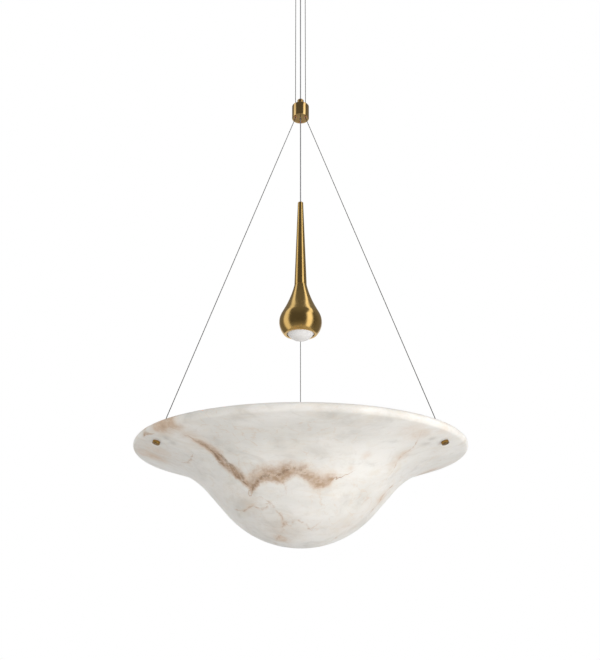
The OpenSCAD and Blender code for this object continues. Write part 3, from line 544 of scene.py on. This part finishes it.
def stone_material():
    stone = Shader("stone_acrylic", Roughness=0.42, Subsurface_Weight=0.3, Subsurface_Scale=0.01)
    stone.bsdf.inputs["Subsurface Radius"].default_value = (1.0, 0.88, 0.75)
    stone.bsdf.inputs["Specular IOR Level"].default_value = 0.35
    here = stone.place()
    warp = stone.add("TexNoise", {"Vector": here, "Scale": 30.0, "Detail": 4.0, "Roughness": 0.6})
    fine_warp = stone.add("TexNoise", {"Vector": here, "Scale": 150.0, "Detail": 4.0, "Roughness": 0.65})
    times = stone.times

    def wander(value, coarse, fine):
        """The distance from a vein, moved in and out by two noises so that its edge wanders."""
        moved = stone.math("ADD", value, times(stone.math("SUBTRACT", warp.outputs["Fac"], 0.5), coarse))
        return stone.math("ADD", moved, times(stone.math("SUBTRACT", fine_warp.outputs["Fac"], 0.5), fine))

    def near(name):
        """1 by the named veins, and 0 beyond five half widths, so that no wander reaches out of them."""
        return stone.span(stone.attribute(name + "_near"), 5.0, 3.5)

    # Base: warm white with soft grey and cream clouds, drawn out along the stone's bed, and painted shadows of the
    # rim stops
    cloud = stone.noise(stone.place((0.7, 1.0, 1.5)), 9.0, 5.0, 0.62, 0.6)
    streak = stone.noise(stone.place((1.2, 3.0, 5.0)), 11.0, 6.0, 0.65, 1.2)
    smudge = stone.noise(stone.place((1.0, 1.1, 1.4)), 24.0, 6.0, 0.6, 1.0)
    grain = stone.noise(here, 75.0, 6.0, 0.7, 0.8)
    fleck = stone.noise(stone.place((1.0, 1.6, 2.4)), 42.0, 5.0, 0.7, 0.5)
    colour = stone.mix(stone.span(cloud, 0.34, 0.68), STONE_SHADE, STONE_PALE)
    colour = stone.mix(times(stone.span(streak, 0.48, 0.72), 0.45), colour, STONE_CREAM)
    colour = stone.mix(times(stone.span(smudge, 0.5, 0.74), 0.36), colour, STONE_GREY_AND_SHADOW)
    colour = stone.mix(times(stone.span(fleck, 0.54, 0.76), 0.28), colour, STONE_GREY_AND_SHADOW)
    colour = stone.mix(times(stone.span(grain, 0.5, 0.74), 0.25), colour, STONE_CREAM)
    # The grey cloud attribute also holds painted shadows that the rim stops cast on the lip's underside.
    grey = times(stone.attribute("grey_cloud_and_shadow"), stone.span(smudge, 0.36, 0.6, 0.45, 1.0))
    grey = times(grey, stone.span(streak, 0.3, 0.6, 0.4, 1.0))
    colour = stone.mix(times(grey, 0.75), colour, STONE_GREY_AND_SHADOW)

    # Tan patches, broken up by grain
    tan = times(stone.attribute("tan_cloud"), stone.span(grain, 0.3, 0.62, 0.55, 1.0))
    tan = times(tan, stone.span(fleck, 0.3, 0.62, 0.7, 1.0))
    colour = stone.mix(stone.math("MULTIPLY", tan, 1.25, clamp=True), colour, STAIN_PALE)
    colour = stone.mix(stone.math("MULTIPLY", stone.math("POWER", tan, 3.0), 0.25, clamp=True), colour, STAIN)

    # Broad stains that fade upwards, richer and blotchy in their middle
    side = wander(stone.attribute("stains"), 2.0, 1.2)
    soft = times(stone.span(side, 1.5, 0.1), stone.span(side, -2.7, -0.2))
    soft = times(soft, near("stains"))
    soft = times(soft, stone.span(grain, 0.28, 0.6, 0.6, 1.0))
    colour = stone.mix(times(soft, 0.9), colour, STAIN_PALE)
    rich = times(times(stone.span(side, 1.1, 0.1), stone.span(side, -1.9, -0.2)), near("stains"))
    rich = times(rich, stone.span(fleck, 0.36, 0.6, 0.2, 1.0))
    rich = times(rich, stone.span(grain, 0.3, 0.64, 0.6, 1.0))
    colour = stone.mix(times(rich, 0.75), colour, STAIN)

    # Narrow dark cores, broken into beads
    side = stone.math("ABSOLUTE", wander(stone.attribute("cores"), 4.0, 2.4), 0.0)
    beads = times(stone.span(grain, 0.36, 0.58, 0.15, 1.0), stone.span(smudge, 0.34, 0.56, 0.35, 1.0))
    beads = times(beads, near("cores"))
    colour = stone.mix(times(times(stone.span(side, 3.2, 0.3), beads), 0.55), colour, STAIN)
    colour = stone.mix(times(times(stone.span(side, 1.5, 0.2), beads), 0.45), colour, STAIN_CORE)

    # Fine pale hairs
    side = stone.math("ABSOLUTE", wander(stone.attribute("hairs"), 6.0, 5.0), 0.0)
    broken = times(stone.span(grain, 0.36, 0.6, 0.1, 1.0), stone.span(smudge, 0.32, 0.56, 0.3, 1.0))
    broken = times(broken, near("hairs"))
    colour = stone.mix(times(times(stone.span(side, 2.6, 0.2), broken), 0.5), colour, STAIN_PALE)
    colour = stone.mix(times(times(stone.span(side, 0.9, 0.1), broken), 0.4), colour, STAIN)

    # Crackle all over, very faint
    bent = stone.add("VectorMath", operation="ADD")
    stone.put(bent.inputs[0], here)
    jitter = stone.add("VectorMath", operation="SCALE")
    stone.put(jitter.inputs[0], warp.outputs["Color"])
    jitter.inputs["Scale"].default_value = 0.03
    stone.put(bent.inputs[1], jitter.outputs[0])
    cells = stone.add("TexVoronoi", {"Vector": bent.outputs[0], "Scale": 34.0}, feature="DISTANCE_TO_EDGE")
    crack = times(stone.span(cells.outputs["Distance"], 0.05, 0.005), stone.span(cloud, 0.56, 0.42))
    crack = times(crack, stone.span(grain, 0.4, 0.62))
    colour = stone.mix(times(crack, 0.4), colour, STAIN_PALE)
    stone.base(colour)
    stone.rough(stone.span(grain, 0.3, 0.7, 0.38, 0.5))
    stone.bump(stone.math("ADD", times(grain, 0.4), cloud), 0.0002, 0.3)
    return stone.mat


def make_bowl():
    low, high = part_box("bowl")
    top = high[2]
    outside, inside = bowl_outline(high[0] / MM, (high[2] - low[2]) / MM)
    outline = [(r, top / MM + z) for r, z in outside + inside[1:]]
    outline[0] = (0, outline[0][1])
    outline[-1] = (0, outline[-1][1])
    mesh = lathe_mesh("bowl_stone", outline, BOWL_SEGMENTS)
    piece = link("bowl_stone", mesh, "suspension")
    drill(piece, [lathe_solid(LIP_CUTTER, 40, at_anchor(turn)) for turn in WIRE_TURNS.values()])
    mesh = piece.data
    smooth(mesh, 50)
    places = np.empty(len(mesh.vertices) * 3)
    mesh.vertices.foreach_get("co", places)
    places = places.reshape(-1, 3) / MM
    plan_r = np.hypot(places[:, 0], places[:, 1])
    places[:, 2] = surface_height(plan_r, outside)
    values = {"tan_cloud": clouds(places, TAN_CLOUDS, outside), "grey_cloud_and_shadow": clouds(places, GREY_CLOUDS_AND_SHADOWS, outside)}
    for name, paths in (("stains", STAINS), ("cores", CORES), ("hairs", HAIRS)):
        values[name] = nearest_vein(places, paths, outside)
        values[name + "_near"] = np.abs(values[name])
    for name, data in values.items():
        layer = mesh.attributes.new(name, "FLOAT", "POINT")
        layer.data.foreach_set("value", data.astype(np.float32))
    mesh.materials.append(stone_material())
    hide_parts("bowl")


# The wires, in millimetres: circle that they hang on, where they leave the lip, the bend between, and how far
# up the lip's hole they bend again
WIRE_CIRCLE = 12.4
ANCHOR_R = 276
WIRE_BEND = 6
ABOVE_LIP = 18
WIRE_R = 0.75
LIP_CUTTER = [(0, -8), (5.9, -8), (5.9, 0.4), (2.7, 0.4), (2.7, 40), (0, 40)]
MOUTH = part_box("release_nose_back")[0][2] / MM


def anchor_height():
    """Height of the lip's underside at the wires' anchors."""
    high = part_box("bowl")[1]
    rim_r = BOWL_WALL / 2
    lip_x = high[0] / MM - rim_r + rim_r * sind(LIP_SLOPE)
    lip_z = -rim_r - rim_r * cosd(LIP_SLOPE)
    return lip_z - (lip_x - ANCHOR_R) * math.tan(math.radians(LIP_SLOPE)) + high[2] / MM


def lip_bend():
    """Radius and height where a wire bends into the lip's hole."""
    return ANCHOR_R - ABOVE_LIP * sind(LIP_SLOPE), anchor_height() + ABOVE_LIP * cosd(LIP_SLOPE)


def wire_tilt():
    r, z = lip_bend()
    dx = r - WIRE_CIRCLE - WIRE_BEND
    dz = MOUTH - z
    return math.degrees(math.atan2(dx, dz) + math.asin(WIRE_BEND / math.hypot(dx, dz)))


def outward(turn, r, z):
    return Vector((r * cosd(turn), r * sind(turn), z)) * MM


def at_anchor(turn):
    """Turns and moves what stands on the origin so that it stands on a wire's anchor, square to the lip."""
    up = Vector((-sind(LIP_SLOPE) * cosd(turn), -sind(LIP_SLOPE) * sind(turn), cosd(LIP_SLOPE)))
    place = up.to_track_quat("Z", "Y").to_matrix().to_4x4()
    place.translation = outward(turn, ANCHOR_R, anchor_height())
    return place


def wire_path(turn, top, foot_z):
    """Centre line of a wire from its crimped top to its crimped foot, with a point about every lay step."""
    tilt = wire_tilt()
    step = 1.3
    below = (anchor_height() - foot_z) / cosd(LIP_SLOPE)
    corners = [(WIRE_CIRCLE, top), (WIRE_CIRCLE, MOUTH)]
    corners += [(WIRE_CIRCLE + WIRE_BEND * (1 - cosd(tilt * i / 6)), MOUTH - WIRE_BEND * sind(tilt * i / 6))
                for i in range(1, 7)]
    corners += [lip_bend(), (ANCHOR_R + below * sind(LIP_SLOPE), foot_z)]
    return [outward(turn, r, z) for r, z in spread(corners, step)]


def rope_mesh(name, path, radius, strands=6, lay=9.0, sides=18, across=(0.31, 0.87, 0.1)):
    """A rope as one tube whose section has a lobe for each strand and turns along the path, or a plain round wire
    where strands is 0. The path never runs along the direction across."""
    verts = []
    gone = 0.0
    for i, p in enumerate(path):
        before = path[max(i - 1, 0)]
        after = path[min(i + 1, len(path) - 1)]
        if i:
            gone += (p - before).length / MM
        direction = (after - before).normalized()
        side = direction.cross(Vector(across)).normalized()
        other = direction.cross(side)
        turn = 2 * math.pi * gone / lay
        for k in range(sides):
            a = 2 * math.pi * k / sides
            lobe = abs(math.cos(strands * (a - turn) / 2))
            r = radius * (0.8 + 0.2 * lobe)
            verts.append(p + (side * math.cos(a) + other * math.sin(a)) * r)
    count = len(path)
    faces = [(i * sides + k, i * sides + (k + 1) % sides, (i + 1) * sides + (k + 1) % sides, (i + 1) * sides + k)
             for i in range(count - 1) for k in range(sides)]
    faces.append(tuple(range(sides - 1, -1, -1)))
    faces.append(tuple((count - 1) * sides + k for k in range(sides)))
    mesh = bpy.data.meshes.new(name)
    mesh.from_pydata(verts, [], faces)
    smooth(mesh, 60)
    return mesh


def make_wires(material):
    for side, turn in WIRE_TURNS.items():
        node = "wire_" + side
        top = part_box(node)[1][2] / MM
        foot_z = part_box(node)[0][2] / MM + WIRE_R * sind(LIP_SLOPE)
        mesh = rope_mesh("rope_" + side, wire_path(turn, top, foot_z), WIRE_R * MM)
        mesh.materials.append(material)
        piece = link("rope_" + side, mesh, "suspension")
        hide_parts(node)


# Coil springs over the release noses: wire radius, turns and points to a turn
SPRING_WIRE_R = 0.27
SPRING_TURNS = 4
SPRING_STEPS = 28


def make_springs(material):
    for side, turn in WIRE_TURNS.items():
        node = "release_spring_" + side
        low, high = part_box(node)
        length = (high[2] - low[2]) / MM
        coil_r = (high[0] - low[0]) / 2 / MM - SPRING_WIRE_R
        steps = SPRING_TURNS * SPRING_STEPS
        centre = outward(turn, WIRE_CIRCLE, 0)
        path = []
        for i in range(steps + 1):
            a = 360 * i / SPRING_STEPS
            z = low[2] / MM + SPRING_WIRE_R + (length - 2 * SPRING_WIRE_R) * i / steps
            path.append(centre + Vector((coil_r * cosd(a), coil_r * sind(a), z)) * MM)
        mesh = rope_mesh("coil_" + side, path, SPRING_WIRE_R * MM, strands=0, sides=10, across=(0, 0, 1))
        mesh.materials.append(material)
        piece = link("coil_" + side, mesh, "suspension")
        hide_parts(node)
        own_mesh(piece)


def brass_material(name, base, deep, roughness=0.18):
    """Satin brass, turned on a lathe: fine rings round the axis and a little uneven tarnish."""
    brass = Shader(name, Metallic=1.0, Roughness=roughness)
    turned = brass.noise(brass.place((0.02, 0.02, 1.0)), 300.0, 2.0, 0.5)
    patch = brass.noise(brass.place(), 14.0, 3.0, 0.55)
    colour = brass.mix(brass.span(patch, 0.3, 0.75), base, deep)
    colour = brass.mix(brass.math("MULTIPLY", brass.span(turned, 0.4, 0.7), 0.1), colour, deep)
    brass.base(colour)
    brass.rough(brass.span(patch, 0.3, 0.7, roughness - 0.01, roughness + 0.03))
    return brass.mat


def metal_material(name, base, roughness):
    metal = Shader(name, Metallic=1.0, Roughness=roughness)
    grain = metal.noise(metal.place(), 900.0, 3.0, 0.6)
    patch = metal.noise(metal.place(), 40.0, 3.0, 0.6)
    dark = tuple(c * 0.78 for c in base[:3]) + (1.0,)
    metal.base(metal.mix(metal.span(patch, 0.3, 0.7), base, dark))
    metal.rough(metal.span(grain, 0.3, 0.7, roughness - 0.06, roughness + 0.08))
    metal.bump(grain, 0.00004, 0.4)
    return metal.mat


def plastic_material(name, base, roughness):
    plastic = Shader(name, Roughness=roughness)
    grain = plastic.noise(plastic.place(), 500.0, 4.0, 0.6)
    shade = tuple(c * 0.9 for c in base[:3]) + (1.0,)
    plastic.base(plastic.mix(plastic.span(grain, 0.3, 0.7), base, shade))
    plastic.rough(plastic.span(grain, 0.3, 0.7, roughness - 0.05, roughness + 0.08))
    plastic.bump(grain, 0.00005, 0.4)
    return plastic.mat


def turned_piece(name, node, body, outline, material, segments=160, cutters=()):
    """A smooth lathed piece that stands for a CAD node."""
    piece = link(name, lathe_mesh(name, spread(outline, 6), segments), body)
    drill(piece, cutters)
    smooth(piece.data, 40)
    piece.data.materials.append(material)
    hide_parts(node)
    return piece


def rounded(r, z, edge, start, end, steps=8):
    """A corner's round on an outline, whose outer corner is at r, z. start and end are its first and last angle."""
    middle = (start + end) / 2
    centre = (r - math.copysign(edge, cosd(middle)), z - math.copysign(edge, sind(middle)))
    return arc(centre, edge, start, end, steps)


def heights(node):
    low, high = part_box(node)
    return low[2] / MM, high[2] / MM


# Lamp, in millimetres and degrees
STEM_TOP_R = 5.5
STEM_FOOT_R = 12.2
STEM_WALL = 1.2
THREAD_R = 10.3
THREAD_LEN = 8
BUSH_LEN = 8
SHELL_R = 41.4
SHELL_WALL = 1.6
NECK_R = 203
NECK_SLOPE = 13
FLANK_SLOPE = 28.4
ROUND_R = 37.6
ROUND_DROP = 24.3
OPENING_R = 26.7
SHELL_LIP = 2
LENS_R = 26.2
LENS_T = 2
LENS_FLANGE_R = 31
LENS_FLANGE_T = 1.5


def make_stem(brass):
    low, high = heights("lamp_stem")
    bore_top = STEM_TOP_R - STEM_WALL
    outline = ([(THREAD_R, low + 0.3), (THREAD_R + 0.3, low), (STEM_FOOT_R - 0.3, low)]
               + [(STEM_FOOT_R, low + 0.3)]
               + rounded(STEM_TOP_R, high, 1, 0, 90)
               + [(bore_top, high), (bore_top, high - BUSH_LEN), (THREAD_R - 1, low + THREAD_LEN),
                  (THREAD_R, low + THREAD_LEN)])
    turned_piece("turned_stem", "lamp_stem", "lamp", outline, brass, 96)


def make_shell(brass):
    low, high = heights("lamp_shell")
    neck = (STEM_FOOT_R + NECK_R * cosd(NECK_SLOPE), high + NECK_R * sind(NECK_SLOPE))
    round_z = low + ROUND_DROP + 1
    middle = (SHELL_R - ROUND_R, round_z)
    drop = math.degrees(math.asin(ROUND_DROP / ROUND_R))
    edge_r = middle[0] + ROUND_R * cosd(drop)
    inner_r = ROUND_R - SHELL_WALL
    inner_drop = math.degrees(math.asin((round_z - low - SHELL_LIP) / inner_r))
    inner_neck = [p for p in arc(neck, NECK_R + SHELL_WALL, 180 + FLANK_SLOPE, 180 + NECK_SLOPE, 30)
                  if p[1] < high - THREAD_LEN]
    outline = ([(THREAD_R, high), (STEM_FOOT_R - 0.2, high)]
               + arc(neck, NECK_R, 180 + NECK_SLOPE, 180 + FLANK_SLOPE, 40)
               + arc(middle, ROUND_R, FLANK_SLOPE, -drop, 60)
               + [(edge_r - 0.8, low + 0.3), (edge_r - 2, low), (OPENING_R + 0.4, low), (OPENING_R, low + 0.4),
                  (OPENING_R, low + SHELL_LIP)]
               + arc(middle, inner_r, -inner_drop, FLANK_SLOPE, 30)
               + inner_neck + [(THREAD_R, high - THREAD_LEN)])
    turned_piece("turned_shell", "lamp_shell", "lamp_shell", outline, brass, 224)


def make_lens(frosted):
    low, high = heights("lens")
    base = high - LENS_FLANGE_T
    bulge = base - low
    ball = (LENS_R ** 2 + bulge ** 2) / (2 * bulge)
    centre = (0, low + ball)
    reach = math.degrees(math.asin(LENS_R / ball))
    inner = ball - LENS_T
    inner_reach = math.degrees(math.acos((centre[1] - base) / inner))
    outline = (arc(centre, ball, -90, reach - 90, 30)
               + [(LENS_FLANGE_R, base), (LENS_FLANGE_R, high), (inner * sind(inner_reach), high)]
               + arc(centre, inner, inner_reach - 90, -90, 24))
    outline[0] = (0, outline[0][1])
    outline[-1] = (0, outline[-1][1])
    turned_piece("dome_lens", "lens", "lamp_shell", outline, frosted)


# Hub, in millimetres
HUB_EDGE = 2
NOSE_R = 3.45
WIRE_BORE_R = 1.05
MOUTH_R = 2.5
BEAD_R = 3.3
BEAD_LIFT = 4
GLAND_R = 5
GLAND_DEPTH = 10
GRIP_TOP = 23


def make_hub(brass):
    low, high = heights("hub")
    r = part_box("hub")[1][0] / MM
    outline = ([(0, low)] + rounded(r, low, HUB_EDGE / 2, -90, 0) + rounded(r, high, HUB_EDGE, 0, 90)
               + [(0, high)])
    bores = [lathe_solid([(0, low - 2), (NOSE_R, low - 2), (NOSE_R, low + GRIP_TOP), (WIRE_BORE_R, low + GRIP_TOP),
                          (WIRE_BORE_R, high + 2), (0, high + 2)], 48,
                         Matrix.Translation(outward(turn, WIRE_CIRCLE, 0))) for turn in WIRE_TURNS.values()]
    pocket = ([(0, low - 2), (MOUTH_R, low - 2)]
              + arc((0, low + BEAD_LIFT), BEAD_R, -40.8, 0, 8)
              + [(BEAD_R, high - GLAND_DEPTH), (GLAND_R, high - GLAND_DEPTH), (GLAND_R, high + 2), (0, high + 2)])
    turned_piece("turned_hub", "hub", "suspension", outline, brass, 160,
                 bores + [lathe_solid(pocket, 48)])


# Gland nut and ceiling pieces, in millimetres
NUT_TOP_EDGE = 2.2
NUT_BORE_R = 4.7
NUT_THREAD = 6.3
CORD_BORE_R = 1.4
BOSS_TOP_EDGE = 1.5
GRUB_BORE_R = 2.1
STEM_BORE_R = 3.6
STEM_BORE = 10.5
TOP_CRIMP_R = 2
TOP_CRIMP_DEPTH = 6
COVER_WALL = 1.5
COVER_EDGE = 6
COVER_HOLE_R = 22.5


def make_nut(brass):
    low, high = heights("gland_nut")
    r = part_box("gland_nut")[1][0] / MM
    outline = ([(NUT_BORE_R, low + NUT_THREAD), (NUT_BORE_R, low)] + rounded(r, low, 0.4, -90, 0, 4)
               + rounded(r, high, NUT_TOP_EDGE, 0, 90)
               + [(CORD_BORE_R + 0.4, high), (CORD_BORE_R, high - 0.4), (CORD_BORE_R, low + NUT_THREAD)])
    turned_piece("turned_nut", "gland_nut", "gland_nut", outline, brass, 96)


def make_cover(brass):
    low, high = heights("canopy_cover")
    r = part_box("canopy_cover")[1][0] / MM
    outline = ([(r - COVER_WALL, high), (r - 0.2, high), (r, high - 0.2)]
               + rounded(r, low, COVER_EDGE, 0, -90, 14)
               + [(COVER_HOLE_R + 0.3, low), (COVER_HOLE_R, low + 0.3), (COVER_HOLE_R, low + COVER_WALL)]
               + arc((r - COVER_EDGE, low + COVER_EDGE), COVER_EDGE - COVER_WALL, -90, 0, 10))
    turned_piece("spun_cover", "canopy_cover", "canopy", outline, brass, 224)


def make_boss(brass):
    low, high = heights("canopy_boss")
    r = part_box("canopy_boss")[1][0] / MM
    outline = ([(0, low)] + rounded(r, low, HUB_EDGE, -90, 0) + rounded(r, high, BOSS_TOP_EDGE, 0, 90)
               + [(0, high)])
    bores = [stepped_bore(low, high, WIRE_BORE_R, TOP_CRIMP_R, TOP_CRIMP_DEPTH, outward(turn, WIRE_CIRCLE, 0))
             for turn in WIRE_TURNS.values()]
    bores.append(stepped_bore(low, high, CORD_BORE_R, STEM_BORE_R, STEM_BORE, Vector()))
    side = Matrix.Translation((0, 0, (high - 5) * MM)) @ Matrix.Rotation(math.radians(90), 4, "X")
    bores.append(lathe_solid([(0, 0), (GRUB_BORE_R, 0), (GRUB_BORE_R, r + 2), (0, r + 2)], 32, side))
    turned_piece("turned_boss", "canopy_boss", "suspension", outline, brass, 160, bores)


def stepped_bore(low, high, bore_r, wide_r, wide_depth, place):
    """A cutter for a through hole that is wider at its top."""
    step = high - wide_depth
    outline = [(0, low - 2), (bore_r, low - 2), (bore_r, step), (wide_r, step), (wide_r, high + 2), (0, high + 2)]
    return lathe_solid(outline, 32, Matrix.Translation(place))


def make_cords(material):
    for node, name, body in (("main_cord", "sheath_main", "suspension"), ("lamp_cord", "sheath_lamp", "lamp")):
        low, high = heights(node)
        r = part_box(node)[1][0] / MM
        crown = [(r * cosd(a), high - r + r * sind(a)) for a in range(0, 91, 15)]
        outline = [(0, low), (r, low)] + [(r, low + (high - r - low) * i / 40) for i in range(1, 40)] + crown
        outline[-1] = (0, high)
        turned_piece(name, node, body, outline, material, 32)


def dress(material, *names):
    for name in names:
        mesh = NODES[name].data
        mesh.materials.clear()
        mesh.materials.append(material)


def main():
    make_camera()
    make_world()
    make_stage()
    brass = brass_material("brushed_brass", rgb(219, 184, 116), rgb(202, 164, 96))
    hub_brass = brass_material("hub_brass", rgb(219, 186, 126), rgb(200, 162, 104), 0.12)
    # The rim stops get a darker copy of the brass. Its colour paints the shade under the lip and the dark
    # reflections the stops show there.
    shaded_stop_brass = brass_material("barrel_brass_painted_shade", rgb(178, 140, 78), rgb(120, 90, 46))
    red_brass = brass_material("release_brass", rgb(232, 180, 142), rgb(205, 150, 116))
    steel = metal_material("plated_steel", rgb(190, 192, 194), 0.34)
    rope = metal_material("wire_rope", rgb(122, 121, 119), 0.42)
    aluminium = metal_material("turned_aluminium", rgb(205, 206, 208), 0.3)
    white = plastic_material("white_plastic", rgb(232, 231, 226), 0.45)
    nylon = plastic_material("natural_nylon", rgb(226, 225, 220), 0.4)
    grey = plastic_material("grey_sheath", rgb(126, 126, 128), 0.42)
    black = plastic_material("lead_sheath", rgb(40, 40, 42), 0.45)
    rubber = plastic_material("rubber", rgb(32, 32, 33), 0.65)
    phosphor = plastic_material("led_phosphor", rgb(242, 205, 96), 0.3)
    frosted = plastic_material("frosted_lens", rgb(251, 250, 250), 0.4)
    slots = {
        "brushed_brass": brass, "wire_steel": rope, "plated_steel": steel, "heat_sink_aluminium": aluminium,
        "frosted_lens": frosted, "clear_bush": nylon, "white_plastic": white, "grey_sheath": grey,
        "lead_sheath": black, "rubber": rubber, "led_phosphor": phosphor,
    }
    for part in frame["record"]["subparts"]:
        if part["material_slot"] in slots:
            dress(slots[part["material_slot"]], part["node"])
    dress(shaded_stop_brass, "rim_stops", "stop_screws")
    dress(red_brass, "release_nose_left", "release_nose_right", "release_nose_back")
    make_bowl()
    make_wires(rope)
    make_springs(steel)
    make_stem(brass)
    make_shell(brass)
    make_lens(frosted)
    make_hub(hub_brass)
    make_nut(hub_brass)
    make_cover(brass)
    make_boss(brass)
    make_cords(grey)
    bpy.context.scene.view_settings.view_transform = "Standard"


main()
